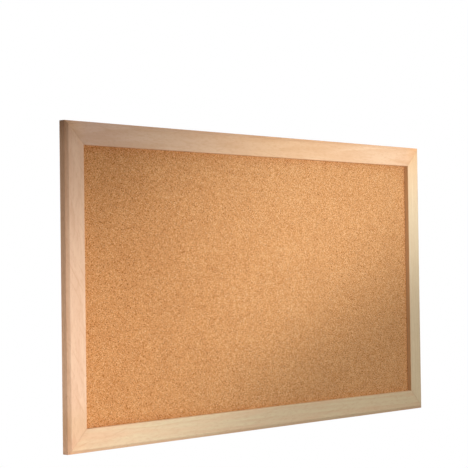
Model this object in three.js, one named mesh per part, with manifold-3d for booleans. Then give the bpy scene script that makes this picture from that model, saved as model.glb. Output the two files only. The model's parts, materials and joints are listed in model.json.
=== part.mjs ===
// Framed cork board for pin badges, hung on a wall by two D-rings.
//
// Millimetres, +Z up. The board stands in the XZ plane with its front facing -Y. The origin is the
// centre of the board on the wall plane, which the backs of the rubber bumpers touch.

import * as THREE from 'three';
import { mergeVertices } from 'three/addons/utils/BufferGeometryUtils.js';
import Module from 'manifold-3d';

// Outline of the board
const BOARD_WIDTH = 800;
const BOARD_HEIGHT = 450;

// Frame moulding, sawn at 45 degrees for the corners
const MOULDING_WIDTH = 32; // outer edge to sight edge
const BEVEL_WIDTH = 5; // bevel of the outer front edge, measured across the front
const BEVEL_DEPTH = 3; // the same bevel, measured down the side
const LIP_THICKNESS = 7.5; // wood in front of the panel
const REBATE_WIDTH = 8; // step in the back that takes the panel
const REBATE_SPARE = 1.1; // depth of rebate left behind the framer's points

// Panel in the rebate
const CORK_THICKNESS = 1.5;
const BACKING_THICKNESS = 2;

// Framer's points, flat steel, driven into the rebate walls
const POINTS_PER_RAIL = 4;
const POINTS_PER_STILE = 2;
const POINT_WIDTH = 6;
const POINT_THICKNESS = 0.4;
const POINT_BITE = 6; // length in the wood
const POINT_TAPER = 3.5; // length of the pointed end
const POINT_REACH = 9; // length over the back of the panel

// V-nails, two driven into the back of each mitre
const V_NAIL_LEG = 6;
const V_NAIL_THICKNESS = 0.6;
const V_NAIL_HEIGHT = 7;
const V_NAIL_PITCH = 8; // outer nail to inner nail, measured in from the edge
const V_NAIL_SINK = 0.2; // below the back of the frame

// Hangers: a D-ring in a folded strap, held by one screw
const HANGER_DROP = 75; // top of the board to the ring's bar
const STRAP_WIDTH = 9;
const STRAP_THICKNESS = 0.8; // one layer of the folded strip
const FOLD_TURN = (4 / 3) * Math.PI; // how far the strip wraps the ring's bar before it runs back
const RING_WIRE = 2;
const RING_LEG = 8; // straight sides of the D
const RING_SIDE_GAP = 2.5; // strap edge to the inside of the ring
const RING_END_GAP = 2; // strap end to the inside of the hanging ring
const SCREW_DIAMETER = 3;
const SCREW_LENGTH = 9; // under the head
const SCREW_POINT = 3.5;
const SCREW_HEAD_DIAMETER = 5.6;
const SCREW_HEAD_HEIGHT = 1.8;
const RECESS_LENGTH = 3.2; // cross recess in the head
const RECESS_WIDTH = 0.7;
const RECESS_DEPTH = 1;

// Rubber bumpers on the back
const BUMPER_DIAMETER = 11;
const BUMPER_ROUND = 1.8; // rounding of the free edge
const BUMPER_END_INSET = 45; // end of the rail to the bumper's centre

// Clearances
const SEAT_GAP = 0.1; // between flat faces that bear on each other
const LIP_GAP = 0.3; // cork to the lip of the frame
const PANEL_GAP = 0.7; // panel edge to the rebate wall
const MITRE_GAP = 0.3; // between two bars at a corner
const SLOT_GAP = 0.2; // round a driven nail, point or screw
const RUN_GAP = 0.3; // round the ring's bar in its fold
const WALL_GAP = 0.7; // highest part of a hanger to the wall

// Facets
const ROUND_STEPS = 20;
const PROFILE_STEPS = 3;
const RING_STEPS = 48;
const RING_SIDES = 8;

// Layers, measured back from the front of the frame
const CORK_FRONT = LIP_THICKNESS + LIP_GAP;
const BACKING_FRONT = CORK_FRONT + CORK_THICKNESS + SEAT_GAP;
const POINT_FRONT = BACKING_FRONT + BACKING_THICKNESS + SEAT_GAP;
const MOULDING_THICKNESS = POINT_FRONT + POINT_THICKNESS + REBATE_SPARE;

// Hanger sizes that follow from the ring and the strip
const EYE_BORE = RING_WIRE / 2 + RUN_GAP;
const EYE_RADIUS = EYE_BORE + STRAP_THICKNESS;
const RING_RADIUS = STRAP_WIDTH / 2 + RING_SIDE_GAP + RING_WIRE / 2; // bow, on the wire's centre line
const RING_DROP = RING_LEG + RING_RADIUS; // bar to the bow, on the wire's centre line
const STRAP_TAIL = RING_DROP - RING_WIRE / 2 - RING_END_GAP; // bar to the end of the strap
const SCREW_DROP = STRAP_TAIL - STRAP_WIDTH / 2; // bar to the screw

// Planes and lines of the assembly
const LAND_WIDTH = MOULDING_WIDTH - REBATE_WIDTH; // flat back of the moulding
const BACK_Y = -(SEAT_GAP + 2 * EYE_RADIUS + WALL_GAP);
const FRONT_Y = BACK_Y - MOULDING_THICKNESS;
const BAR_Y = BACK_Y + SEAT_GAP + EYE_RADIUS;
const BAR_Z = BOARD_HEIGHT / 2 - HANGER_DROP;
const STRAP_BACK_Y = BACK_Y + SEAT_GAP + 2 * STRAP_THICKNESS;

const PINE = new THREE.MeshStandardMaterial({ color: 0xe6c49c, roughness: 0.55, metalness: 0 });
const CORK = new THREE.MeshStandardMaterial({ color: 0xc88f5c, roughness: 0.9, metalness: 0 });
const HARDBOARD = new THREE.MeshStandardMaterial({ color: 0x7a573b, roughness: 0.8, metalness: 0 });
const STEEL = new THREE.MeshStandardMaterial({ color: 0xb8bab8, roughness: 0.35, metalness: 1 });
const RUBBER = new THREE.MeshStandardMaterial({ color: 0x3a3937, roughness: 0.7, metalness: 0 });

const wasm = await Module();
wasm.setup();

// Closed geometry with shared corners, holding positions only. Triangles that shrink to a line at a
// pole, or where an arc meets a straight, are left out.
function welded(geometry) {
  geometry.deleteAttribute('normal');
  geometry.deleteAttribute('uv');
  const closed = mergeVertices(geometry);
  const corners = Array.from(closed.index.array);
  const triangles = Array.from({ length: corners.length / 3 }, (_, i) => corners.slice(3 * i, 3 * i + 3));
  closed.setIndex(triangles.filter((triangle) => new Set(triangle).size === 3).flat());
  return closed;
}

function toSolid(geometry) {
  const closed = welded(geometry);
  const vertProperties = new Float32Array(closed.getAttribute('position').array);
  const triVerts = new Uint32Array(closed.index.array);
  return new wasm.Manifold(new wasm.Mesh({ numProp: 3, vertProperties, triVerts }));
}

function toGeometry(solid) {
  const { vertProperties, triVerts } = solid.getMesh();
  const geometry = new THREE.BufferGeometry();
  geometry.setAttribute('position', new THREE.BufferAttribute(vertProperties, 3));
  geometry.setIndex(new THREE.BufferAttribute(triVerts, 1));
  geometry.computeVertexNormals();
  return geometry;
}

function cutAway(blank, cutters) {
  const solid = cutters.reduce((left, cutter) => left.subtract(toSolid(cutter)), toSolid(blank));
  return toGeometry(solid);
}

// Straight extrusion of a shape along its own Z
function extruded(shape, depth) {
  return new THREE.ExtrudeGeometry(shape, { depth, bevelEnabled: false, curveSegments: ROUND_STEPS / 2 });
}

// Prism whose outline lies in the plane of the board, as (x, z), between two depths
function boardPrism(shape, frontY, backY) {
  const prism = extruded(shape, backY - frontY);
  prism.rotateX(Math.PI / 2);
  prism.translate(0, backY, 0);
  return prism;
}

function outlineShape(corners) {
  return new THREE.Shape(corners.map(([x, z]) => new THREE.Vector2(x, z)));
}

function mesh(name, geometry, material) {
  const piece = new THREE.Mesh(geometry, material);
  piece.name = name;
  return piece;
}

// Section of the moulding, as (inset from the outer edge, depth from the front)
function mouldingSection() {
  return outlineShape([
    [BEVEL_WIDTH, 0],
    [MOULDING_WIDTH, 0],
    [MOULDING_WIDTH, LIP_THICKNESS],
    [LAND_WIDTH, LIP_THICKNESS],
    [LAND_WIDTH, MOULDING_THICKNESS],
    [0, MOULDING_THICKNESS],
    [0, BEVEL_DEPTH],
  ]);
}

// Bar of moulding along X, its outer edge on z = 0 and facing +Z. Each point of an end stands back by
// its own inset, which makes the 45 degree mitre.
function mitredBar(length) {
  const bar = extruded(mouldingSection(), 1);
  const position = bar.getAttribute('position');
  const longPoint = length / 2 - MITRE_GAP * Math.SQRT1_2;
  for (let i = 0; i < position.count; i += 1) {
    const inset = position.getX(i);
    const end = position.getZ(i) > 0.5 ? 1 : -1;
    position.setXYZ(i, end * (longPoint - inset), FRONT_Y + position.getY(i), -inset);
  }
  return bar;
}

// V-nail at one end of a bar: its corner lies on the mitre and one leg runs in each bar
function vNail(length, end, cornerInset, growth) {
  const half = V_NAIL_THICKNESS / 2 + growth;
  const leg = V_NAIL_LEG + growth;
  const vee = [[-half, -half], [leg, -half], [leg, half], [half, half], [half, leg], [-half, leg]];
  const outline = vee.map(([along, across]) => [
    end * (length / 2 - cornerInset - along),
    -(cornerInset + across),
  ]);
  const backY = BACK_Y - V_NAIL_SINK;
  const mouthY = growth > 0 ? BACK_Y + growth : backY;
  return boardPrism(outlineShape(outline), backY - V_NAIL_HEIGHT - growth, mouthY);
}

// Framer's point: the pointed end in the rebate wall, the flat tail over the back of the panel
function framersPoint(along, growth) {
  const half = POINT_WIDTH / 2 + growth;
  const tip = LAND_WIDTH - POINT_BITE - growth;
  const tail = LAND_WIDTH + POINT_REACH;
  const outline = [
    [along - half, -tail],
    [along + half, -tail],
    [along + half, -(tip + POINT_TAPER)],
    [along, -tip],
    [along - half, -(tip + POINT_TAPER)],
  ];
  const frontY = FRONT_Y + POINT_FRONT;
  return boardPrism(outlineShape(outline), frontY - growth, frontY + POINT_THICKNESS + growth);
}

function pilotHole(along) {
  const bottomY = STRAP_BACK_Y + SEAT_GAP - SCREW_LENGTH - SLOT_GAP;
  const mouthY = BACK_Y + SLOT_GAP;
  const radius = SCREW_DIAMETER / 2 + SLOT_GAP;
  const hole = new THREE.CylinderGeometry(radius, radius, mouthY - bottomY, ROUND_STEPS);
  hole.translate(along, (mouthY + bottomY) / 2, -LAND_WIDTH / 2);
  return hole;
}

// The two nails of a corner lie as a pair in the middle of the moulding's flat back
const OUTER_NAIL_INSET = (LAND_WIDTH - V_NAIL_PITCH - V_NAIL_LEG) / 2;
const NAIL_INSETS = { outer: OUTER_NAIL_INSET, inner: OUTER_NAIL_INSET + V_NAIL_PITCH };
const BAR_ENDS = [-1, 1];

// One side of the frame with its points and, on a rail, the nails of its two corners. It is built as
// the top side and turned about Y to its place.
function frameSide({ name, side, turn, length, offset, pointCount, screwAlong, nailEnds }) {
  const group = new THREE.Group();
  group.rotation.y = turn;

  const pitch = (length - 2 * LAND_WIDTH) / pointCount;
  const pointPlaces = Array.from({ length: pointCount }, (_, i) => (i + 0.5 - pointCount / 2) * pitch);
  const cutters = pointPlaces.map((along) => framersPoint(along, SLOT_GAP));
  for (const end of BAR_ENDS) {
    for (const inset of Object.values(NAIL_INSETS)) cutters.push(vNail(length, end, inset, SLOT_GAP));
  }
  if (screwAlong !== undefined) cutters.push(pilotHole(screwAlong));
  group.add(mesh(name, cutAway(mitredBar(length), cutters), PINE));

  pointPlaces.forEach((along, i) => {
    group.add(mesh(`framers_point_${side}_${i + 1}`, framersPoint(along, 0), STEEL));
  });
  for (const [corner, end] of Object.entries(nailEnds ?? {})) {
    for (const [place, inset] of Object.entries(NAIL_INSETS)) {
      group.add(mesh(`v_nail_${corner}_${place}`, vNail(length, end, inset, 0), STEEL));
    }
  }
  for (const piece of group.children) piece.position.z = offset;
  return group;
}

// Layer of the panel: a sheet that fills the rebate but for a gap all round
function panelLayer(name, front, thickness, material) {
  const inset = LAND_WIDTH + PANEL_GAP;
  const sheet = new THREE.BoxGeometry(BOARD_WIDTH - 2 * inset, thickness, BOARD_HEIGHT - 2 * inset);
  sheet.translate(0, FRONT_Y + front + thickness / 2, 0);
  return mesh(name, sheet, material);
}

// Strap of a hanger, about the ring's bar: a strip folded round the bar, its two layers running down as
// one tail with a round end
function hangerStrap() {
  const tailFace = 2 * STRAP_THICKNESS - EYE_RADIUS;
  const fold = new THREE.Shape();
  fold.moveTo(-EYE_RADIUS, -STRAP_TAIL);
  fold.lineTo(-EYE_RADIUS, 0);
  fold.absarc(0, 0, EYE_RADIUS, Math.PI, Math.PI - FOLD_TURN, true);
  fold.lineTo(tailFace, -2 * EYE_RADIUS);
  fold.lineTo(tailFace, -STRAP_TAIL);
  fold.closePath();
  fold.holes.push(new THREE.Path().absarc(0, 0, EYE_BORE, 0, 2 * Math.PI, false));
  const half = STRAP_WIDTH / 2;
  const strip = extruded(fold, STRAP_WIDTH);
  const [x, y, z] = [[1, 0, 0], [0, 1, 0], [0, 0, 1]].map((axis) => new THREE.Vector3(...axis));
  strip.applyMatrix4(new THREE.Matrix4().makeBasis(y, z, x));
  strip.translate(-half, 0, 0);

  const plan = new THREE.Shape();
  plan.moveTo(half, 2 * EYE_RADIUS);
  plan.lineTo(-half, 2 * EYE_RADIUS);
  plan.lineTo(-half, -SCREW_DROP);
  plan.absarc(0, -SCREW_DROP, half, Math.PI, 2 * Math.PI, false);
  plan.closePath();
  const rounded = toSolid(strip).intersect(toSolid(boardPrism(plan, -2 * EYE_RADIUS, 2 * EYE_RADIUS)));

  const holeRadius = SCREW_DIAMETER / 2 + SLOT_GAP;
  const hole = new THREE.CylinderGeometry(holeRadius, holeRadius, 4 * EYE_RADIUS, ROUND_STEPS);
  hole.translate(0, 0, -SCREW_DROP);
  return toGeometry(rounded.subtract(toSolid(hole)));
}

// D-ring about its bar, hanging straight down: bar, corners, legs and a half-round bow of one wire
function hangerRing() {
  const corner = RING_SIDE_GAP;
  const wire = new THREE.Path();
  wire.moveTo(0, 0);
  wire.lineTo(RING_RADIUS - corner, 0);
  wire.absarc(RING_RADIUS - corner, -corner, corner, Math.PI / 2, 0, true);
  wire.lineTo(RING_RADIUS, -RING_LEG);
  wire.absarc(0, -RING_LEG, RING_RADIUS, 0, Math.PI, true);
  wire.lineTo(-RING_RADIUS, -corner);
  wire.absarc(-RING_RADIUS + corner, -corner, corner, Math.PI, Math.PI / 2, true);
  wire.closePath();
  const stations = wire.getSpacedPoints(RING_STEPS).slice(0, -1);
  const bends = stations.map(({ x, y }) => new THREE.Vector3(x, 0, y));
  const centreLine = new THREE.CatmullRomCurve3(bends, true);
  return welded(new THREE.TubeGeometry(centreLine, RING_STEPS, RING_WIRE / 2, RING_SIDES, true));
}

// Pan-head screw along Y, the underside of its head at the origin and its point towards -Y
function hangerScrew() {
  const shank = SCREW_DIAMETER / 2;
  const head = SCREW_HEAD_DIAMETER / 2;
  const profile = new THREE.Path();
  profile.moveTo(0, -SCREW_LENGTH);
  profile.lineTo(shank, -SCREW_LENGTH + SCREW_POINT);
  profile.lineTo(shank, 0);
  profile.lineTo(head, 0);
  profile.quadraticCurveTo(head, SCREW_HEAD_HEIGHT, 0, SCREW_HEAD_HEIGHT);
  const turned = new THREE.LatheGeometry(profile.getPoints(2 * PROFILE_STEPS), ROUND_STEPS);
  const slots = [[RECESS_LENGTH, RECESS_WIDTH], [RECESS_WIDTH, RECESS_LENGTH]].map(([x, z]) => {
    const slot = new THREE.BoxGeometry(x, 2 * RECESS_DEPTH, z);
    return slot.translate(0, SCREW_HEAD_HEIGHT, 0);
  });
  return cutAway(turned, slots);
}

function hanger(side, direction) {
  const group = new THREE.Group();
  group.position.set(direction * (BOARD_WIDTH / 2 - LAND_WIDTH / 2), BAR_Y, BAR_Z);
  const screw = mesh(`hanger_screw_${side}`, hangerScrew(), STEEL);
  screw.position.set(0, STRAP_BACK_Y + SEAT_GAP - BAR_Y, -SCREW_DROP);
  group.add(mesh(`hanger_strap_${side}`, hangerStrap(), STEEL));
  group.add(mesh(`hanger_ring_${side}`, hangerRing(), STEEL));
  group.add(screw);
  return group;
}

// Bumper along Y, stuck to the flat back of a rail, its free face on the wall plane
function wallBumper(name, x, z) {
  const radius = BUMPER_DIAMETER / 2;
  const stuckY = BACK_Y + SEAT_GAP;
  const profile = new THREE.Path();
  profile.moveTo(0, stuckY);
  profile.lineTo(radius, stuckY);
  profile.lineTo(radius, -BUMPER_ROUND);
  profile.absarc(radius - BUMPER_ROUND, -BUMPER_ROUND, BUMPER_ROUND, 0, Math.PI / 2, false);
  profile.lineTo(0, 0);
  const moulded = new THREE.LatheGeometry(profile.getPoints(PROFILE_STEPS), ROUND_STEPS);
  const bumper = mesh(name, welded(moulded), RUBBER);
  bumper.position.set(x, 0, z);
  return bumper;
}

const board = new THREE.Group();

const rail = { length: BOARD_WIDTH, offset: BOARD_HEIGHT / 2, pointCount: POINTS_PER_RAIL };
const topNails = { top_left: -1, top_right: 1 };
const bottomNails = { bottom_left: 1, bottom_right: -1 };
board.add(
  frameSide({ ...rail, name: 'top_rail', side: 'top', turn: 0, nailEnds: topNails }),
  frameSide({ ...rail, name: 'bottom_rail', side: 'bottom', turn: Math.PI, nailEnds: bottomNails }),
);

const stile = { length: BOARD_HEIGHT, offset: BOARD_WIDTH / 2, pointCount: POINTS_PER_STILE };
const screwZ = BAR_Z - SCREW_DROP;
board.add(
  frameSide({ ...stile, name: 'left_stile', side: 'left', turn: -Math.PI / 2, screwAlong: screwZ }),
  frameSide({ ...stile, name: 'right_stile', side: 'right', turn: Math.PI / 2, screwAlong: -screwZ }),
);

board.add(
  panelLayer('cork_sheet', CORK_FRONT, CORK_THICKNESS, CORK),
  panelLayer('backing_board', BACKING_FRONT, BACKING_THICKNESS, HARDBOARD),
);

for (const [side, direction] of [['left', -1], ['right', 1]]) {
  board.add(hanger(side, direction));
  for (const [level, height] of [['top', 1], ['bottom', -1]]) {
    const x = direction * (BOARD_WIDTH / 2 - BUMPER_END_INSET);
    const z = height * (BOARD_HEIGHT / 2 - LAND_WIDTH / 2);
    board.add(wallBumper(`wall_bumper_${level}_${side}`, x, z));
  }
}

export default board;
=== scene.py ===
# %% [markdown]
# A framed cork board for pin badges.
# A shallow wooden frame, mitred at its corners, holds a sheet of pressed cork on a hardboard back. D-rings
# on the back hang it on a wall. The sizes come from a packed CAD model, which stays as it is. This lesson
# dresses it: pieces whose edges catch the light are made again as finer surfaces, every surface gets a
# finish made of shader nodes, and lamps and a camera are set up as for a catalogue picture.

# %% Load the packed part
import json

import bmesh
import bpy
import numpy as np
from mathutils import Matrix, Vector


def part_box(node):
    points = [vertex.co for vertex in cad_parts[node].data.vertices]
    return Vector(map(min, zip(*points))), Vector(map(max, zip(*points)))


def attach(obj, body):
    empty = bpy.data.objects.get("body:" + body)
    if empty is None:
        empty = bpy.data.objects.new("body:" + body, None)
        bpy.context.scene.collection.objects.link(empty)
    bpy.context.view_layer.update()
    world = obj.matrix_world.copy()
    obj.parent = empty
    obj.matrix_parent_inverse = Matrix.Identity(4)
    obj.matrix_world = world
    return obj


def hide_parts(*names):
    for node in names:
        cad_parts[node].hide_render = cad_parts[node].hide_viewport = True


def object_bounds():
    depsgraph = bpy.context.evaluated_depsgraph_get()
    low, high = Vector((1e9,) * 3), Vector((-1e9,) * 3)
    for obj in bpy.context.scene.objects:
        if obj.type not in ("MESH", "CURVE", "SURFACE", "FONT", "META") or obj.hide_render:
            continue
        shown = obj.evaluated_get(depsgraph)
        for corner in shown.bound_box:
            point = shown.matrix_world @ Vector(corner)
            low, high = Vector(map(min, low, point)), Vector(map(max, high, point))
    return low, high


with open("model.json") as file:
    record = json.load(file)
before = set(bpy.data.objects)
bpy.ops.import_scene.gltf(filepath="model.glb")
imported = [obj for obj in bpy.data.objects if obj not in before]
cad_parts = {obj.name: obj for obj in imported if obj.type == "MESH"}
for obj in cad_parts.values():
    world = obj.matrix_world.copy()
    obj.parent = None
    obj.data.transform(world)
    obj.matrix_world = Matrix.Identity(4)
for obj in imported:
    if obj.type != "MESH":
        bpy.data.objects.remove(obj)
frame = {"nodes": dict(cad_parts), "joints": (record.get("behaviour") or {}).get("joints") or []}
nodes = frame["nodes"]
cad_box = [list(corner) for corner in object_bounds()]
MM = 0.001  # Blender counts in metres
print(len(nodes), "CAD nodes; box in mm", (np.array(cad_box) / MM).round(2).tolist())

# %% [markdown]
# From numbers to meshes.
# A piece here is an array of points and lists of corner numbers. Blender could build the same shapes by
# hand with its modelling tools, but arrays keep every size exact and repeatable. The helpers below turn a
# grid of points into faces, make the mesh closed and outward facing, and let the piece ride on a CAD body
# in place of the CAD nodes that it stands for.

# %% Faces of a grid
def grid_quads(rows, columns, rows_close=False, columns_close=False):
    """Quads between the neighbours on a grid, where point u * columns + v is column v of row u. Rows or
    columns that close have their last line joined to their first."""
    number = np.arange(rows * columns).reshape(rows, columns)
    if rows_close:
        number = np.concatenate([number, number[:1]])
    if columns_close:
        number = np.concatenate([number, number[:, :1]], 1)
    corners = [number[:-1, :-1], number[:-1, 1:], number[1:, 1:], number[1:, :-1]]
    return np.stack(corners, -1).reshape(-1, 4).tolist()


def tube_faces(rings, sides):
    """The quads of a tube of rings, and a flat cap on the first and on the last ring."""
    first = np.arange(sides)
    last = first + (rings - 1) * sides
    return [*grid_quads(rings, sides, columns_close=True), first[::-1].tolist(), last.tolist()]


print("a tube of 3 rings of 4 points has", len(tube_faces(3, 4)), "faces")

# %% From arrays to pieces
SHARP_ANGLE = np.radians(38)  # past this angle, the edge between two faces stays sharp


def linked(name, data):
    """A new object with that mesh, lamp or camera, in the scene at the origin."""
    made = bpy.data.objects.new(name, data)
    bpy.context.scene.collection.objects.link(made)
    return made


def solid(name, points, faces):
    """A closed mesh object, its faces turned outwards, smooth where they meet at a low angle."""
    data = bpy.data.meshes.new(name)
    data.from_pydata(points.reshape(-1, 3).tolist(), [], faces)
    shell = bmesh.new()
    shell.from_mesh(data)
    bmesh.ops.recalc_face_normals(shell, faces=shell.faces)
    shell.to_mesh(data)
    shell.free()
    data.shade_smooth()
    data.set_sharp_from_angle(angle=SHARP_ANGLE)
    return linked(name, data)


def settle(piece, body, slot, finish, *stands_for):
    """Let a piece ride on a body in place of CAD nodes, and give it its finish."""
    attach(piece, body)
    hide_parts(*stands_for)
    piece.data.materials.append(finish)
    print(f"{piece.name}: {len(piece.data.polygons)} faces on {body}")


def mark(piece, name, values):
    """Store one number for each point of a piece, for its finish to read."""
    layer = piece.data.attributes.new(name, "FLOAT", "POINT")
    layer.data.foreach_set("value", np.ascontiguousarray(values, np.float32).ravel())


print("edges stay sharp past", np.degrees(SHARP_ANGLE).round(), "degrees")

# %% [markdown]
# Shader sums as Python sums.
# A finish is a small sum: so much ring, so much fibre, a darker edge. Wiring Math nodes by hand hides that
# sum, so one class wraps an output of a node, and plain arithmetic on it adds the Math nodes. Its method
# add makes every other kind of node. Colours go through Mix nodes: a Math node would turn them grey.

# %% The wire class
class Wire:
    """One output of a shader node. Arithmetic with numbers and other wires adds Math nodes to its tree."""

    def __init__(self, tree, socket=None):
        self.tree, self.socket = tree, socket

    def add(self, kind, settings=None, sockets=None, out=0):
        """Make a node of a type. Its settings are set first, then its sockets, by name or number, take
        values or wires. The answer is the wire of one output, by name or number, if it has any."""
        node = self.tree.nodes.new("ShaderNode" + kind)
        for key, value in (settings or {}).items():
            if key == "stops":
                ramp = node.color_ramp.elements
                while len(ramp) < len(value):
                    ramp.new(1.0)
                for stop, (place, colour) in zip(ramp, value):
                    stop.position, stop.color = place, colour
            else:
                setattr(node, key, value)
        for key, value in (sockets or {}).items():
            named = [s for s in node.inputs if s.enabled and s.name == key]
            socket = named[0] if named else node.inputs[key]
            if isinstance(value, Wire):
                self.tree.links.new(value.socket, socket)
            else:
                socket.default_value = value
        if not node.outputs:
            return None
        named = [s for s in node.outputs if s.enabled and s.name == out]
        return Wire(self.tree, named[0] if named else node.outputs[out])

    def also(self, out):
        """Another output of the same node."""
        return Wire(self.tree, self.socket.node.outputs[out])

    def math(self, operation, *others):
        """A Math node with this wire as its first number."""
        return self.add("Math", {"operation": operation}, dict(enumerate((self, *others))))

    def __add__(self, other):
        return self.math("ADD", other)

    def __sub__(self, other):
        return self.math("SUBTRACT", other)

    def __rsub__(self, other):
        return self.add("Math", {"operation": "SUBTRACT"}, {0: other, 1: self})

    def __mul__(self, other):
        return self.math("MULTIPLY", other)

    def __truediv__(self, other):
        return self.math("DIVIDE", other)

    def __rtruediv__(self, other):
        return self.add("Math", {"operation": "DIVIDE"}, {0: other, 1: self})

    __radd__, __rmul__ = __add__, __mul__

    def rise(self, low, high):
        """0 below low, 1 above high, and a smooth step between them. It falls where low is above high."""
        ends = {"Value": self, "From Min": low, "From Max": high}
        return self.add("MapRange", {"interpolation_type": "SMOOTHSTEP"}, ends)

    def blend(self, colour, other, how="MIX"):
        """A mix of two colours, with this wire as the share of the second."""
        kind = {"data_type": "RGBA", "blend_type": how}
        return self.add("Mix", kind, {"Factor": self, "A": colour, "B": other}, "Result")

    def tinted(self, colour, tint):
        """A colour multiplied by a tint of three numbers, as far as this wire says."""
        return self.blend(colour, (*tint, 1.0), "MULTIPLY")

    def noise(self, scale, detail=2.0, rough=0.5):
        """Cloudy values about 0.5, read at this vector."""
        sockets = {"Vector": self, "Scale": scale, "Detail": detail, "Roughness": rough}
        return self.add("TexNoise", {}, sockets)


print("a wire has", ", ".join(name for name in vars(Wire) if not name.startswith("_")))

# %% Starting and closing a finish
def rgb(red, green, blue):
    """A colour as it is seen on a screen, 0 to 255, turned into the linear value that a shader takes."""
    seen = np.array([red, green, blue]) / 255
    linear = np.where(seen <= 0.04045, seen / 12.92, ((seen + 0.055) / 1.055) ** 2.4)
    return (*linear.tolist(), 1.0)


def tree_of(owner):
    """The emptied node tree of a material or world, as a wire to build on."""
    owner.use_nodes = True
    owner.node_tree.nodes.clear()
    return Wire(owner.node_tree)


def new_finish(name):
    """A new material, its tree to build on, and the wire of its Object coordinates."""
    made = bpy.data.materials.new(name)
    start = tree_of(made)
    return made, start, start.add("TexCoord", out="Object")


def relief(start, height, depth):
    """A Bump node: a height of 1 stands depth metres proud."""
    return start.add("Bump", {}, {"Height": height, "Distance": depth, "Strength": 1.0}, "Normal")


def coated(start, sockets):
    """A Principled surface as the material's output."""
    surface = start.add("BsdfPrincipled", {}, sockets, "BSDF")
    start.add("OutputMaterial", {}, {"Surface": surface})


print("middle grey on a screen is", round(rgb(128, 128, 128)[0], 3), "in a shader")

# %% [markdown]
# Pale wood, cut from one tree.
# The frame is bare pale wood with a soft figure. A flat strip of painted grain would not turn the corner
# from the front to the bevel and the side, so the wood is solid: rings stand round a heart line that leans
# a little from the bar, and each face cuts them where it lies. That gives straight lines where the bar runs
# with the tree and arches where it leaves it. Fine fibres, short pores and flecks and slow blushes of
# colour run along the bar, and darker flames cross it on a slope. Each bar also drifts in colour from end
# to end and has a darker tint on its outer edges, each its own. The drifts are partly the wood's tone and
# partly painted light and shade: lighter and warmer towards the lower left and upper right, darker towards
# the upper left and lower right. The outer-edge tint is partly the wood's colour and partly painted shade
# on the bevel and side, and the inside edges carry a painted cork-brown shade and bounce light.

# %% The wood finish
TO_MM = 1000
# The last of these is no colour of the wood: it is painted shade and cork-brown bounce light for the inside
# walls.
PORE_BROWN, EDGE_BROWN, PAINTED_CORK_BOUNCE = rgb(150, 106, 70), rgb(200, 148, 102), rgb(190, 145, 98)
# The first tint is painted warm light where the light falls brightest. The second darkens the bevel and
# outer side, partly as the wood's colour and partly as painted shade.
WARM_PAINTED_LIGHT, EDGE_TINT_AND_SHADE = (1.10, 0.965, 0.88), (0.95, 0.86, 0.785)
MARKS = "arris", "joint", "edge", "sight"


def wood_finish(name, upright, seed, heart, lean, ring, slant, pale, late, blush, drifts,
                edge_tint_and_shade=EDGE_TINT_AND_SHADE, inside=0.4):
    """Solid wood, with lengths in mm. The ring number is the distance from the heart line divided by the
    width of a ring. The heart line lies at heart = (across, y), both from the board's origin, and its y
    changes by lean per mm along the bar. Flames cross the bar at the slope slant. Each drift =
    (place, reach, tint) tints the bar about that place along it, less and less up to its reach; the drifts
    are partly the wood's own tone and partly painted light and shade. The outer edges have a tint of their
    own, partly the wood's colour and partly painted shade, and the inside edge has that share of a painted
    cork-brown shade and bounce light."""
    made, start, place = new_finish(name)
    x = start.add("SeparateXYZ", {}, {"Vector": place})
    x, y, z = x * TO_MM, x.also("Y") * TO_MM, x.also("Z") * TO_MM
    along, across = (z, x) if upright else (x, z)

    def streaks(length, width, detail=2.0, rough=0.5, slope=None):
        """Cloudy values, stretched to that many mm along the bar and across it, on a slope if given."""
        sideways = across + along * slope if slope else across
        parts = {"X": along / length + seed, "Y": sideways / width, "Z": y / width}
        return start.add("CombineXYZ", {}, parts).noise(1.0, detail, rough)

    # The rings, about a heart line that sways by a few mm
    sway = streaks(160, 40) - 0.5
    side = across - heart[0] + sway * 7
    below = y - heart[1] - along * lean
    ring_number = (side * side + below * below).math("SQRT") / ring
    ring_number = ring_number + (streaks(300, 9, 1.0) - 0.5) * 0.7
    within = ring_number.math("FRACT")
    dense = within.rise(0.15, 0.85) * (1 - within.rise(0.88, 1.0))
    dense = dense * (0.25 + 0.75 * streaks(120, 14).rise(0.35, 0.7))
    # The patterns along the bar, and the marks of its edges
    fibre = streaks(45, 0.7, 4.0, 0.6)
    pore = streaks(7, 0.28, 1.0).rise(0.66, 0.74)
    patch = streaks(110, 13).rise(0.38, 0.68)
    flame = streaks(60, 4.5, slope=slant).rise(0.58, 0.76)
    fleck = streaks(8, 2.4).rise(0.46, 0.7)
    arris, joint, edge, sight = (start.add("Attribute", {"attribute_name": m}, out="Fac") for m in MARKS)

    # The colours, from the ground up
    colour = (dense * 0.5).blend(pale, late)
    colour = (patch * 0.6).blend(colour, blush)
    colour = (flame * 0.5).blend(colour, late)
    colour = (fleck * 0.36).blend(colour, late)
    colour = (fibre.rise(0.3, 0.75) * 0.22).blend(colour, late)
    colour = (pore * 0.28).blend(colour, PORE_BROWN)
    colour = (arris * 0.12 + joint * 0.15).blend(colour, EDGE_BROWN)
    # Partly the wood's own tone, partly painted light and shade: lighter and warmer where the light is
    # strong, darker where it is weak.
    for spot, reach, tint in drifts:
        near = (along - spot).math("ABSOLUTE").rise(reach, 0)
        colour = near.tinted(colour, tint)
    # Bevel and outer side: partly the wood's colour, partly painted shade.
    colour = edge.tinted(colour, edge_tint_and_shade)
    # Inside walls: painted shade and cork-brown bounce light.
    colour = (sight * inside).blend(colour, PAINTED_CORK_BOUNCE)
    height = fibre * 0.6 - pore * 0.5 - dense * 0.25
    coated(start, {
        "Base Color": colour,
        "Roughness": 0.52 + 0.16 * fibre + 0.1 * pore,
        "Specular IOR Level": 0.25,
        "Normal": relief(start, height, 0.06 * MM),
    })
    return made


print("the wood reads the marks", ", ".join(MARKS))
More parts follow.
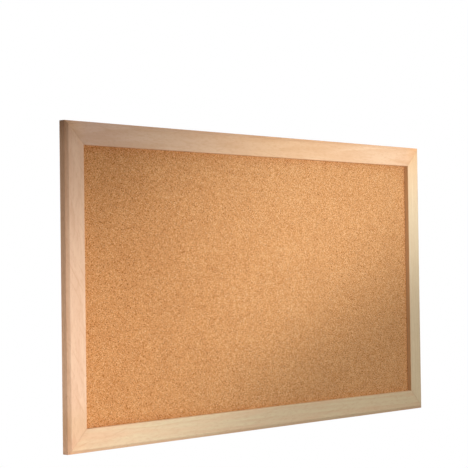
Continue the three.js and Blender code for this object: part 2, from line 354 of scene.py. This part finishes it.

# %% Four woods
# Each bar's browns are partly its own and partly painted light: the left stile is pinker, as under warmer
# light from the left.
WOODS = {
    "top_rail": wood_finish(
        "pale_wood_top", upright=False, seed=3.1, heart=(203.6, 25.1), lean=-0.030, ring=4.2, slant=0.2,
        pale=rgb(244, 208, 172), late=rgb(226, 178, 135), blush=rgb(230, 186, 145),
        drifts=((560, 310, WARM_PAINTED_LIGHT), (-150, 420, (0.87, 0.85, 0.86)), (30, 260, (1.0, 0.95, 0.85)),
                (-400, 200, (1.0, 0.98, 1.10)), (-400, 45, (1.12, 1.08, 0.92)),
                (400, 45, (1.12, 1.10, 1.0)))),
    "bottom_rail": wood_finish(
        "pale_wood_bottom", upright=False, seed=7.7, heart=(-236, 40), lean=0.006, ring=3.4, slant=-0.25,
        pale=rgb(233, 212, 173), late=rgb(219, 181, 143), blush=rgb(232, 195, 157),
        drifts=((-420, 220, (1.10, 0.975, 0.95)), (400, 600, (0.96, 0.95, 0.925)),
                (-400, 45, (1.10, 1.08, 1.06))),
        # This bar's edge tint is partly painted shade, where the light below is weak.
        edge_tint_and_shade=(0.96, 0.82, 0.76)),
    "left_stile": wood_finish(
        "pale_wood_left", upright=True, seed=11.3, heart=(-392, 26), lean=0.060, ring=4.6, slant=0.6,
        pale=rgb(251, 211, 177), late=rgb(229, 178, 141), blush=rgb(243, 198, 164),
        drifts=((-430, 310, WARM_PAINTED_LIGHT), (225, 200, (0.95, 0.935, 0.93)), (225, 40, (0.78, 0.73, 0.68)),
                (-188, 40, (0.92, 0.90, 0.82)))),
    "right_stile": wood_finish(
        "pale_wood_right", upright=True, seed=15.9, heart=(352, 60), lean=0.004, ring=2.6, slant=0.15,
        pale=rgb(242, 221, 185), late=rgb(228, 203, 163), blush=rgb(233, 207, 168),
        drifts=((225, 135, WARM_PAINTED_LIGHT), (-225, 400, (0.935, 0.92, 0.885)), (225, 45, (0.95, 0.90, 0.83))),
        # A stronger painted shade and bounce light on this bar's inside wall.
        inside=0.85),
}
print(len(WOODS), "woods of", [len(wood.node_tree.nodes) for wood in WOODS.values()], "nodes")

# %% [markdown]
# The four bars.
# The moulding is flat in front, bevelled along its outer edge and square along the inside, where a lip
# overlaps the cork. Behind the lip a step takes the panel. The CAD bars have knife-sharp edges; sandpaper
# leaves a real one with a hair of softness, and that thin highlight is what makes an edge look like wood. A
# Bevel modifier would soften all edges alike, so the section is drawn again with each corner eased by its
# own amount, and carried from mitre to mitre.

# %% The eased section
low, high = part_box("left_stile")
WIDTH, THICKNESS = round(high.x - low.x, 6), round(high.y - low.y, 6)
BEVEL_WIDTH, BEVEL_DEPTH = 5 * MM, 3 * MM
LIP_DEPTH, STEP_WIDTH = 7.5 * MM, 8 * MM
SECTION = np.array([
    [BEVEL_WIDTH, 0], [WIDTH, 0], [WIDTH, LIP_DEPTH], [WIDTH - STEP_WIDTH, LIP_DEPTH],
    [WIDTH - STEP_WIDTH, THICKNESS], [0, THICKNESS], [0, BEVEL_DEPTH]])
EASING = np.array([0.45, 0.4, 0.3, 0.12, 0.35, 0.6, 0.5]) * MM


def eased_outline(corners, easing, steps=6):
    """Closed outline with softened corners. With a and b the unit directions from a corner P to its
    neighbours and r its easing, the corner becomes (1-s)^2 (P + a r) + 2 s (1-s) P + s^2 (P + b r) for s
    from 0 to 1, with a point at 2 r on both sides to keep the flats flat. Also gives how deep in an eased
    corner each point is."""
    to_last, to_next = np.roll(corners, 1, 0) - corners, np.roll(corners, -1, 0) - corners
    a = easing[:, None] * to_last / np.linalg.norm(to_last, axis=1, keepdims=True)
    b = easing[:, None] * to_next / np.linalg.norm(to_next, axis=1, keepdims=True)
    s = np.linspace(0, 1, steps)[:, None]
    bow = corners[:, None] + (1 - s) ** 2 * a[:, None] + s ** 2 * b[:, None]
    outline = np.concatenate([(corners + 2 * a)[:, None], bow, (corners + 2 * b)[:, None]], 1)
    depth = np.concatenate([[0.3], 0.4 + 2.4 * (s * (1 - s)).ravel(), [0.3]])
    return outline.reshape(-1, 2), np.tile(depth, len(corners))


outline, softened = eased_outline(SECTION, EASING)
print(len(outline), "points round a moulding of", (SECTION.max(0) / MM).round(2), "mm")

# %% Carry the section from mitre to mitre
BOARD = np.ptp(cad_box, axis=0)[[0, 2]].round(6)
FRONT_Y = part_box("top_rail")[0].y
MITRE_GAP, NEXT_RING, DRAWN_IN = 0.14 * MM, 0.3 * MM, 0.12 * MM


def bar_points(length, steps=49):
    """At share t of the bar, from -1 to 1, a point of the section with inset i and depth d lies at
    (t (length / 2 - gap - i), i, d). The end rings are drawn in by a hair: a joint shows as a fine V."""
    t = np.concatenate([[-1], np.linspace(-1, 1, steps) * (1 - 2 * NEXT_RING / length), [1]])
    run = np.roll(outline, -1, 0) - np.roll(outline, 1, 0)
    outward = np.stack([run[:, 1], -run[:, 0]], 1) / np.linalg.norm(run, axis=1, keepdims=True)
    draw_in = np.where(abs(t) == 1, DRAWN_IN, 0)[:, None, None]
    section = outline - draw_in * outward
    along = t[:, None] * (length / 2 - MITRE_GAP / 2 ** 0.5 - section[..., 0])
    return np.concatenate([along[..., None], section], -1)


def in_board(points, inward):
    """Points (along, inset, depth) of a bar, turned to the side of the board with that inward direction."""
    inward, depth = np.array(inward, float), np.array([0.0, 1.0, 0.0])
    edge = -inward * BOARD[0 if inward[0] else 1] / 2 + depth * FRONT_Y
    along = np.cross(inward, depth)
    return edge + points[..., :1] * along + points[..., 1:2] * inward + points[..., 2:] * depth


rings = bar_points(BOARD[0])
print("a rail is", rings.shape, "points,", (np.ptp(rings[..., 0]) / MM).round(2), "mm long")

# %% [markdown]
# V-shaped nails hold each mitre from behind. They stand in slots a little below the surface, so the bars
# need real slots, or the nails would be buried. On each bar a Boolean cut with four prisms makes them.

# %% Slots for the nails
NAIL_INSETS = np.array([5, 13]) * MM


def nail_slots(length, sheet=0.6 * MM, leg=6 * MM, depth=7.2 * MM, room=0.15 * MM, proud=0.5 * MM):
    """Four V prisms for a bar, as (along, inset, depth): the corner of a V lies on the mitre, one leg runs
    along the bar and one across it. The outline of a nail grows by room all round, goes that deep into the
    bar from the back, and stands proud of the back, so that the cut is clean."""
    half, leg = sheet / 2 + room, leg + room
    vee = np.array([[-half, -half], [leg, -half], [leg, half], [half, half], [half, leg], [-half, leg]])
    end, inset = (a.ravel()[:, None] for a in np.meshgrid([-1, 1], NAIL_INSETS, indexing="ij"))
    along, across = end * (length / 2 - inset - vee[:, 0]), inset + vee[:, 1]
    depths = np.array([THICKNESS - depth, THICKNESS + proud])[None, :, None]
    return np.stack(np.broadcast_arrays(along[:, None], across[:, None], depths), -1)


def prism_faces(slots):
    """The faces of all the prisms of a bar, whose points are numbered one prism after another."""
    count, rings, sides = slots.shape[:3]
    starts = range(0, count * rings * sides, rings * sides)
    return [[c + start for c in face] for start in starts for face in tube_faces(rings, sides)]


def cut(piece, cutter):
    """Take a cutter away from a piece and keep the result as the piece's mesh."""
    step = piece.modifiers.new("slots", "BOOLEAN")
    step.object, step.operation, step.solver = cutter, "DIFFERENCE", "EXACT"
    whole = piece.evaluated_get(bpy.context.evaluated_depsgraph_get())
    data, old = bpy.data.meshes.new_from_object(whole), piece.data
    piece.modifiers.clear()
    piece.data = data
    bpy.data.meshes.remove(old)
    bpy.data.objects.remove(cutter)
    data.set_sharp_from_angle(angle=SHARP_ANGLE)


slots = nail_slots(BOARD[0])
print("slots of a rail:", slots.shape, "points and", len(prism_faces(slots)), "faces")

# %% Make the bars
SIDES = {
    "top_rail": (0, 0, -1), "bottom_rail": (0, 0, 1), "left_stile": (1, 0, 0), "right_stile": (-1, 0, 0)}
JOINT_FADE = 0.5 * MM
SIGHT_INSET, SIGHT_DEPTH = WIDTH - 0.05 * MM, 0.3 * MM
EDGE_INSET, EDGE_FADE, EDGE_DEPTH = 4.5 * MM, 1 * MM, THICKNESS - 0.5 * MM

for node, inward in SIDES.items():
    length = BOARD[1 if inward[0] else 0]
    rings = bar_points(length)
    along, inset, depth = (rings[..., k] for k in range(3))
    from_mitre = np.ptp(along, 0) / 2 - abs(along)
    bar = solid(node + "_bar", in_board(rings, inward), tube_faces(*rings.shape[:2]))
    mark(bar, "arris", np.broadcast_to(softened, along.shape))
    mark(bar, "joint", np.exp(-from_mitre / JOINT_FADE))
    # The inside walls, which take a painted shade and bounce light.
    mark(bar, "sight", (inset > SIGHT_INSET) & (depth > SIGHT_DEPTH))
    # The bevel and outer side, for a tint that is partly painted shade.
    mark(bar, "edge", np.clip((EDGE_INSET - inset) / EDGE_FADE, 0, 1) * (depth < EDGE_DEPTH))
    slots = nail_slots(length)
    cut(bar, solid(node + "_slots", in_board(slots, inward), prism_faces(slots)))
    settle(bar, "board", "frame_wood", WOODS[node], node)

# %% [markdown]
# Pressed cork.
# The sheet is granules of bark, about a millimetre across, pressed into a block and sliced. A picture of
# cork would repeat and blur, so the granules are Voronoi cells: each gets one shade from a ramp of cork
# browns, some are crumbled into smaller ones, thin dark seams run between them, and a slow mottling lies
# over all. Dark bark is redder than pale bark. Painted warm light turns the sheet a little more orange to
# the left.

# %% The cork finish
COARSE, FINE = 980.0, 1900.0  # granules in a metre
BARK_BROWNS = [
    (0.00, rgb(148, 82, 30)), (0.06, rgb(176, 108, 46)), (0.18, rgb(206, 139, 75)),
    (0.50, rgb(229, 169, 111)), (0.82, rgb(238, 184, 129)), (0.94, rgb(245, 200, 148)),
    (1.00, rgb(251, 214, 168))]
# The last tint is painted warm light, which turns the sheet more orange towards the left.
SEAM_BROWN, MOTTLE_BROWN, ORANGE_PAINTED_LIGHT = rgb(164, 94, 40), rgb(176, 116, 68), (0.965, 0.87, 0.78)


def cork_finish():
    """Each granule has a random shade, which picks its brown. Seams darken the edges between granules, a
    tint follows a slow noise, and painted warm light makes the sheet more orange towards the left."""
    made, start, place = new_finish("pressed_cork")
    stir = place.noise(1100.0, 1.0).also("Color")
    bent = start.add("VectorMath", {"operation": "MULTIPLY_ADD"}, {0: stir, 1: (0.7 * MM,) * 3, 2: place})

    def granules(scale, feature="F1"):
        """The distance to the middle of a granule, or to its edge, with that many granules in a metre."""
        cells = {"Vector": bent, "Scale": scale, "Randomness": 1.0}
        return start.add("TexVoronoi", {"feature": feature}, cells, "Distance")

    dice = start.add("SeparateColor", {}, {"Color": granules(COARSE).also("Color")})
    crumb = start.add("SeparateColor", {}, {"Color": granules(FINE).also("Color")})
    crumbled = dice.also("Green").rise(0.55, 0.56)
    shade = dice * (1 - crumbled) + crumb * crumbled
    seam = 1 - granules(COARSE, "DISTANCE_TO_EDGE").rise(0.0, 0.09)
    mottle = place.noise(26.0, 3.0, 0.6)
    across = start.add("SeparateXYZ", {}, {"Vector": place})

    colour = start.add("ValToRGB", {"stops": BARK_BROWNS}, {"Fac": shade}, "Color")
    colour = (seam * 0.4).blend(colour, SEAM_BROWN)
    colour = (mottle.rise(0.3, 0.7) * 0.10).blend(colour, MOTTLE_BROWN)
    # Painted warm light: the cork turns more orange towards the left.
    colour = across.rise(0.10, -0.42).tinted(colour, ORANGE_PAINTED_LIGHT)
    height = shade * 0.5 + (1 - seam) * 0.4 + place.noise(2600.0, 2.0) * 0.25
    coated(start, {
        "Base Color": colour,
        "Roughness": 0.82 + 0.12 * dice.also("Blue"),
        "Specular IOR Level": 0.15,
        "Normal": relief(start, height, 0.16 * MM),
    })
    return made


CORK = cork_finish()
print(len(CORK.node_tree.nodes), "nodes in", CORK.name)

# %% [markdown]
# The face of the sheet is not quite flat: granules stand a few hundredths of a millimetre high or low. That
# relief is part of the mesh, a grid with a point for about every second granule, and the bump only adds
# what is finer.

# %% The cork sheet
def rough_sheet(low, high, columns=400, rows=213, swell=0.07 * MM, seed=41):
    """A grid over the face of a sheet, at y = low + swell (1 + n), where n is a random number from -1 to 1
    for each point. The rim of the grid stays flat. Walls drop from it to the back, closed by one face."""
    x, z = np.meshgrid(np.linspace(low[0], high[0], columns), np.linspace(low[2], high[2], rows))
    lift = np.zeros((rows, columns))
    lift[1:-1, 1:-1] = np.random.default_rng(seed).normal(0, 0.5, (rows - 2, columns - 2)).clip(-1, 1)
    face = np.stack([x, low[1] + swell * (lift + 1), z], -1).reshape(-1, 3)
    number = np.arange(rows * columns).reshape(rows, columns)
    rim = np.concatenate([number[0, :-1], number[:-1, -1], number[-1, :0:-1], number[:0:-1, 0]])
    back = face[rim] * [1, 0, 1] + [0, high[1], 0]
    under = len(face) + np.arange(len(rim))
    walls = np.stack([rim, np.roll(rim, -1), np.roll(under, -1), under], -1)
    faces = [*grid_quads(rows, columns), *walls.tolist(), under.tolist()]
    return np.concatenate([face, back]), faces


cork = solid("cork_face", *rough_sheet(*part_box("cork_sheet")))
settle(cork, "board", "cork", CORK, "cork_sheet")

# %% [markdown]
# The hardboard back.
# Hardboard is wood fibre pressed on a wire screen: smooth on the glued side, and printed with the weave of
# the screen on the side that is seen here. The CAD sheet is already the right shape, so it only gets a
# finish: short fibres lying every way, a few dark flecks, and the screen as a fine relief.

# %% The hardboard finish
SCREEN_PITCH = 1.6 * MM


def hardboard_finish():
    """The mean of three sets of streaks at different angles, with flecks and clouds of other browns. The
    screen is sin(2 pi x / pitch) sin(2 pi z / pitch), brought to 0 to 1."""
    made, start, place = new_finish("screen_back_hardboard")

    def fibres(turn, length, width):
        """Streaks that lie at an angle in the plane of the sheet, as long and as wide as given, in mm."""
        sockets = {"Vector": place, "Rotation": (0.0, turn, 0.0)}
        turned = start.add("Mapping", {"vector_type": "TEXTURE"}, sockets)
        size = (TO_MM / length, 0.0, TO_MM / width)
        stretched = start.add("VectorMath", {"operation": "MULTIPLY"}, {0: turned, 1: size})
        return stretched.noise(1.0, 3.0, 0.6)

    felt = (fibres(0.3, 9, 1.1) + fibres(1.4, 7, 0.9) + fibres(2.5, 8, 1.0)) / 3
    fleck = fibres(0.9, 3.5, 0.8).rise(0.68, 0.76)
    cloud = place.noise(9.0, 3.0)
    x = start.add("SeparateXYZ", {}, {"Vector": place})
    weave = 2 * np.pi / SCREEN_PITCH
    screen = (x * weave).math("SINE") * (x.also("Z") * weave).math("SINE") * 0.5 + 0.5

    colour = felt.rise(0.35, 0.65).blend(rgb(104, 72, 47), rgb(146, 107, 74))
    colour = (cloud.rise(0.35, 0.7) * 0.4).blend(colour, rgb(118, 80, 50))
    colour = (fleck * 0.6).blend(colour, rgb(70, 46, 30))
    colour = (screen * 0.18).blend(colour, rgb(84, 57, 37))
    coated(start, {
        "Base Color": colour,
        "Roughness": 0.72 + 0.14 * felt,
        "Specular IOR Level": 0.25,
        "Normal": relief(start, felt * 0.5 - screen * 0.6, 0.18 * MM),
    })
    return made


def nodes_named(*starts):
    """The names of the CAD nodes that start with one of these words."""
    return [name for name in nodes if name.startswith(starts)]


def repaint(names, finish):
    """Give CAD nodes that stay as they are a finish in place of their plain colour."""
    for name in names:
        nodes[name].data.materials.clear()
        nodes[name].data.materials.append(finish)
    print(finish.name, "on", len(names), "CAD nodes")


repaint(nodes_named("backing_board"), hardboard_finish())

# %% [markdown]
# Zinc-plated steel.
# The nails, points and hangers are stamped from plated strip or drawn wire. Plating is bright but not a
# mirror, which a plain metal shader would give: it has a faint crystal bloom, a bluish cast that drifts to
# straw, and fine scratches from the tumbling drum. Each of these is a pattern of its own size.

# %% The steel finish
def steel_finish():
    """A grey for each crystal, part of the way to straw by a slow noise, with darker, duller scratches."""
    made, start, place = new_finish("zinc_plated_steel")
    bloom = start.add("TexVoronoi", {"feature": "F1"}, {"Vector": place, "Scale": 900.0}, "Distance")
    grey = start.add("SeparateColor", {}, {"Color": bloom.also("Color")})
    drift = place.noise(160.0, 2.0)
    thin = start.add("VectorMath", {"operation": "MULTIPLY"}, {0: place, 1: (600.0, 600.0, 6000.0)})
    scratch = thin.noise(1.0, 2.0).rise(0.6, 0.72)

    colour = grey.blend(rgb(156, 160, 164), rgb(186, 189, 191))
    colour = (drift.rise(0.4, 0.7) * 0.5).blend(colour, rgb(186, 181, 166))
    colour = (scratch * 0.3).blend(colour, rgb(128, 131, 134))
    coated(start, {
        "Base Color": colour,
        "Metallic": 1.0,
        "Roughness": 0.28 + 0.14 * grey + 0.12 * scratch,
        "Normal": relief(start, grey * 0.3 - scratch * 0.5, 0.01 * MM),
    })
    return made


STEEL = steel_finish()
repaint(nodes_named("v_nail", "framers_point"), STEEL)

# %% [markdown]
# The hangers.
# Each hanger is a strip folded round the bar of a D-ring and screwed to the stile. Curve objects could draw
# the wire and the strip, but not the rounded tails or the recess of the screw. A strip, a wire and a turned
# screw are each one profile carried along a path, so each is a short function, round where the CAD is not.

# %% Paths in a plane
def path_normals(path, closed):
    """The unit directions of a path in a plane, each turned by a quarter turn in that plane."""
    run = np.roll(path, -1, 0) - np.roll(path, 1, 0) if closed else np.gradient(path, axis=0)
    run = run / np.linalg.norm(run, axis=1, keepdims=True)
    return np.stack([-run[:, 1], run[:, 0]], 1)


def way_along(path):
    """The distance along a path from its start to each of its points: the sum of the steps before it."""
    return np.concatenate([[0], np.cumsum(np.linalg.norm(np.diff(path, axis=0), axis=1))])


def points_at(path, distances):
    """The points of a path at those distances along it."""
    way = way_along(path)
    return np.stack([np.interp(distances, way, path[:, k]) for k in (0, 1)], 1)


def even_steps(path, count, closed):
    """The same path as that many points, evenly spaced along it."""
    ring = np.concatenate([path, path[:1]]) if closed else path
    return points_at(ring, np.linspace(0, way_along(ring)[-1], count, endpoint=not closed))


def arc(centre, radius, first, last, steps=40):
    """Points at centre + radius (cos a, sin a), with the angle a from first to last, in degrees."""
    turn = np.radians(np.linspace(first, last, steps))
    return np.array(centre) + radius * np.stack([np.cos(turn), np.sin(turn)], 1)


print("a quarter turn of radius 1 is", way_along(arc((0, 0), 1, 0, 90))[-1].round(3), "long")

# %% Ring wire
def ring_wire(radius=1.0, bend=2.5, bow=8.0, leg=8.0, steps=150, sides=18):
    """A circle carried round a D in the plane (x, z): bar, two bends, two legs and a half-round bow. In mm,
    a point is c(u) + radius (n(u) cos v + y sin v), with n the normal of the D and y the board's depth."""
    corner = bow - bend
    path = np.concatenate([
        arc((corner, -bend), bend, 90, 0), arc((0, -leg), bow, 0, -180, 120),
        arc((-corner, -bend), bend, 180, 90)])
    path = even_steps(path, steps, True)
    normal = path_normals(path, True)
    v = np.linspace(0, 2 * np.pi, sides, endpoint=False)
    flat = path[:, None] + radius * normal[:, None] * np.cos(v)[:, None]
    deep = np.broadcast_to(radius * np.sin(v), flat.shape[:2])
    return np.stack([flat[..., 0], deep, flat[..., 1]], -1) * MM


wire = ring_wire()
print("ring of", wire.shape, "points,", (np.ptp(wire.reshape(-1, 3), 0) / MM).round(2), "mm")

# %% Folded strap
EYE, TAIL = 2.1, 13.0  # in mm, from the ring's bar to the outside of the fold and to the tail's end


def folded_strap(width=9.0, sheet=0.8, easing=0.16, window=25):
    """An eased rectangle carried along a fold in the plane (y, z): up beside the wood, round the ring's
    bar, and back down on the first layer. The mean of a window of steps softens the bends. Near both ends
    the rectangle narrows to sqrt(h^2 - (h - d)^2), with d the way to the end and h half the width, which
    rounds the tail. In mm, about the bar of the ring."""
    mid, half = EYE - sheet / 2, width / 2
    fold = np.concatenate([
        [[-mid, -TAIL]], arc((0, 0), mid, 180, -60), [[sheet - mid, -2 * EYE]], [[sheet - mid, -TAIL]]])
    dense = even_steps(fold, 600, False)
    margin, kernel = window // 2, np.ones(window) / window
    padded = np.pad(dense, ((margin, margin), (0, 0)), "reflect", reflect_type="odd")
    dense = np.stack([np.convolve(padded[:, k], kernel, "valid") for k in (0, 1)], 1)
    length = way_along(dense)[-1]
    cap = half * (1 - np.cos(np.linspace(0.12, np.pi / 2, 14)))
    at = np.concatenate([cap, np.linspace(half, length - half, 90)[1:-1], length - cap[::-1]])
    path = points_at(dense, at)
    normal = path_normals(path, False)
    to_end = np.minimum(np.minimum(at, length - at), half)
    spread = np.sqrt(half ** 2 - (half - to_end) ** 2) / half
    box = np.array([[-half, -sheet / 2], [half, -sheet / 2], [half, sheet / 2], [-half, sheet / 2]])
    section = eased_outline(box, np.full(4, easing))[0]
    flat = path[:, None] + section[:, 1, None] * normal[:, None]
    wide = spread[:, None] * section[:, 0]
    return np.stack([wide, flat[..., 0], flat[..., 1]], -1) * MM


strap = folded_strap()
print("strap of", strap.shape, "points,", (np.ptp(strap.reshape(-1, 3), 0) / MM).round(2), "mm")

# %% Cross-head screw
HEAD_HEIGHT = 1.8  # in mm


def turned(profile, sides, sink=None):
    """A profile (radius, height) turned about the Y axis: (r cos v, h, r sin v). Where sink is given, it is
    a function of (x, z) that lowers the points above its foot."""
    v = np.linspace(0, 2 * np.pi, sides, endpoint=False)
    x, z = (profile[:, :1] * part for part in (np.cos(v), np.sin(v)))
    y = np.broadcast_to(profile[:, 1:], x.shape)
    if sink:
        y = y - sink(x, z) * (y > 0)
    return np.stack([x, y, z], -1)


def screw_recess(x, z, reach=1.6, half=0.35, depth=1.0, slope=0.16):
    """A cross: two bars whose walls rise over a short slope, the deeper of the two at each point."""
    def fade(distance, edge):
        return np.clip((edge + slope / 2 - abs(distance)) / slope, 0, 1)
    return depth * np.maximum(fade(x, reach) * fade(z, half), fade(z, reach) * fade(x, half))


def pan_screw(head=2.8, shank=1.5, length=9.0, point=3.5, rim=0.12, ease=0.08, tip=0.05):
    """From the crown to the rim of the head, a quarter of a superellipse (head sin a, height cos(a)^0.75),
    then the underside, the shank and the point."""
    a = np.linspace(0.02, np.pi / 2, 44)
    crown = np.stack([head * np.sin(a), HEAD_HEIGHT * np.cos(a) ** 0.75], 1)
    crown[-1, 1] = rim
    below = np.array([[head - ease, 0], [shank, 0], [shank, point - length], [tip, -length]])
    return turned(np.concatenate([crown, below]), 120, screw_recess) * MM


screw = pan_screw()
print("screw of", screw.shape, "points,", (np.ptp(screw[..., 1]) / MM).round(2), "mm long")

# %% Hang both hangers
ring_faces = grid_quads(*wire.shape[:2], rows_close=True, columns_close=True)

for side, joint in zip(("left", "right"), frame["joints"]):
    low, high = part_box("hanger_strap_" + side)
    bar = np.array([(low.x + high.x) / 2, low.y + EYE * MM, low.z + TAIL * MM])
    screw_low, screw_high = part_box("hanger_screw_" + side)
    seat = np.array([bar[0], screw_high.y - HEAD_HEIGHT * MM, (screw_low.z + screw_high.z) / 2])
    made = solid(f"hanger_strap_{side}_fold", strap + bar, tube_faces(*strap.shape[:2]))
    settle(made, "board", "zinc_steel", STEEL, "hanger_strap_" + side)
    made = solid(f"hanger_ring_{side}_wire", wire + bar, ring_faces)
    settle(made, "ring_" + side, "zinc_steel", STEEL, "hanger_ring_" + side)
    made = solid(f"hanger_screw_{side}_turned", screw + seat, tube_faces(*screw.shape[:2]))
    settle(made, "board", "zinc_steel", STEEL, "hanger_screw_" + side)
    print(side, "bar at", (bar / MM).round(2), "joint", joint["name"])

# %% [markdown]
# Rubber bumpers.
# Four soft pads keep the board off the wall. Moulded rubber is dull and slightly grainy, and grey with dust
# where it is touched, so its finish is dark with a pale bloom rather than black. The CAD pads are plain
# discs. A profile with a round shoulder, turned about each pad's axis, takes their place.

# %% The rubber finish
def rubber_finish():
    """A dark grey and a dusty one, mixed by a noise, with a pebble grain and the dust as relief."""
    made, start, place = new_finish("moulded_rubber")
    bloom = place.noise(420.0, 3.0, 0.6)
    cells = {"Vector": place, "Scale": 2400.0}
    pebble = start.add("TexVoronoi", {"feature": "SMOOTH_F1"}, cells, "Distance")
    coated(start, {
        "Base Color": bloom.rise(0.4, 0.75).blend(rgb(46, 46, 45), rgb(84, 83, 80)),
        "Roughness": 0.6 + 0.2 * bloom,
        "Specular IOR Level": 0.4,
        "Normal": relief(start, pebble + bloom * 0.5, 0.04 * MM),
    })
    return made


RUBBER = rubber_finish()
print(len(RUBBER.node_tree.nodes), "nodes in", RUBBER.name)

# %% The bumpers
ROUNDING, FOOT = 1.8, 0.25  # in mm

for name in nodes_named("wall_bumper"):
    low, high = (np.array(corner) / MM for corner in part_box(name))
    radius = (high[0] - low[0]) / 2
    shoulder = arc((radius - ROUNDING, high[1] - ROUNDING), ROUNDING, 90, 0, 14)
    foot = np.array([[radius, low[1] + FOOT], [radius - FOOT, low[1]]])
    middle = [(low[0] + high[0]) / 2, 0, (low[2] + high[2]) / 2]
    pad = turned(np.concatenate([shoulder, foot]), 64) + middle
    settle(solid(name + "_pad", pad * MM, tube_faces(*pad.shape[:2])), "board", "rubber", RUBBER, name)

# %% [markdown]
# Floor and light.
# A wall board has no floor of its own, so the pale floor lies well below it and fades to white with
# distance. One big lamp would light the board evenly. Soft lamps close to the front light it unevenly,
# brighter along one diagonal, as in the photograph. Those above draw the shadow under the top bar's lip,
# one below lifts the lower bevel, and three more show the ends and the back.

# %% Floor and world
FILL = 0.07
WHITE, FLOOR_WHITE = (1.0, 1.0, 1.0, 1.0), (0.86, 0.86, 0.85, 1.0)


def white_for_eyes(start):
    """1 for rays from the camera or from a mirror or glass, 0 for rays that gather light for the rest."""
    ray = start.add("LightPath", out="Is Camera Ray")
    return ray.math("MAXIMUM", ray.also("Is Glossy Ray")).math("MAXIMUM", ray.also("Is Transmission Ray"))


def pale_floor(radius=16.0, drop=1.2, sides=64):
    """A disc at that depth below the board: one ring of points about the Z axis."""
    rim = np.full((sides, 3), cad_box[0][2] - drop)
    rim[:, :2] = arc((0, 0), radius, 0, 360, sides + 1)[:-1]
    data = bpy.data.meshes.new("floor")
    data.from_pydata(rim.tolist(), [], [list(range(sides))])
    paint, start, place = new_finish("pale_floor")
    away = start.add("VectorMath", {"operation": "LENGTH"}, {0: place}, "Value")
    matt = start.add("BsdfDiffuse", {}, {"Color": FLOOR_WHITE})
    glow = start.add("Emission", {}, {"Color": WHITE, "Strength": 1.0})
    far = (0.55 + 0.45 * away.rise(0.9, 2.6)) * white_for_eyes(start)
    shown = start.add("MixShader", {}, {0: far, 1: matt, 2: glow})
    start.add("OutputMaterial", {}, {"Surface": shown})
    data.materials.append(paint)
    return linked("floor", data)


pale_floor()
world = bpy.data.worlds.new("studio")
bpy.context.scene.world = world
start = tree_of(world)
strength = FILL + (1.0 - FILL) * white_for_eyes(start)
sky = start.add("Background", {}, {"Color": WHITE, "Strength": strength})
start.add("OutputWorld", {}, {"Surface": sky})
print("the world fills in with a strength of", FILL)

# %% Lamps
def soft_lamp(name, place, target, roll, size, power):
    """A rectangular lamp, unseen itself, aimed at a target, its first side at roll degrees to level."""
    data = bpy.data.lights.new(name, "AREA")
    data.shape, data.size, data.size_y, data.energy = "RECTANGLE", *size, power
    made = linked(name, data)
    look = (Vector(target) - Vector(place)).normalized()
    level = Vector((np.cos(np.radians(roll)), 0.0, np.sin(np.radians(roll))))
    side = (level - look * level.dot(look)).normalized()
    turn = np.stack([side, np.cross(-look, side), -look], 1)
    made.matrix_world = Matrix.Translation(place) @ Matrix(turn.tolist()).to_4x4()
    made.visible_camera = False
    print(name, "of", power, "W")


soft_lamp("lamp_right", (0.215, -0.385, -0.125), (0.34, 0.0, -0.30), 14.0, (0.87, 0.93), 1.62)
soft_lamp("lamp_high", (0.18, -0.38, 0.175), (0.01, 0.0, 0.60), 26.0, (0.88, 0.65), 1.53)
soft_lamp("lamp_left", (-0.465, -0.395, -0.43), (-0.645, 0.0, -0.575), 25.0, (0.79, 0.94), 2.76)
soft_lamp("lamp_over", (0.0, -0.85, 1.15), (0.0, 0.0, 0.0), 0.0, (1.6, 0.8), 2.5)
soft_lamp("lamp_over_near", (0.25, -0.42, 0.62), (0.25, 0.0, 0.05), 0.0, (0.7, 0.4), 0.5)
soft_lamp("lamp_over_top", (0.49, -0.15, 1.00), (-0.42, 0.0, 0.415), 2.0, (0.51, 0.32), 3.0)
soft_lamp("lamp_under", (0.3, -0.5, -0.85), (0.2, 0.0, 0.0), 0.0, (1.0, 0.4), 0.7)
soft_lamp("lamp_left_end", (-0.583, 0.087, -0.14), (-0.40, -0.012, -0.07), 158.0, (0.74, 0.10), 0.43)
soft_lamp("lamp_right_end", (0.95, 0.35, 0.05), (0.4, 0.0, 0.0), 90.0, (0.6, 0.3), 1.6)
soft_lamp("lamp_back", (0.35, 0.95, 0.5), (0.0, 0.0, 0.0), 0.0, (1.2, 0.9), 9.5)

# %% [markdown]
# The camera.
# It stands to the front left of the board, level with its middle. Placing it by eye would leave every edge
# a little off, so its place, turn and focal length were fitted until the edges of the frame fell on those
# of the photograph. The lens is the focal length in pixels, scaled to the width of the sensor.

# %% Camera
FOCAL_PIXELS, IMAGE_PIXELS, SENSOR = 1475.7, 468, 36.0

scene = bpy.context.scene
scene.view_settings.view_transform = "Standard"
view = linked("camera", bpy.data.cameras.new("camera"))
view.location = (-1.6900, -1.5361, 0.0257)
view.rotation_euler = np.radians([91.226, 0.775, -46.8095])
view.data.sensor_width, view.data.lens = SENSOR, SENSOR * FOCAL_PIXELS / IMAGE_PIXELS
scene.camera = view
print("lens", round(view.data.lens, 2), "mm")

# %% [markdown]
# The finer surfaces must not outgrow the board.
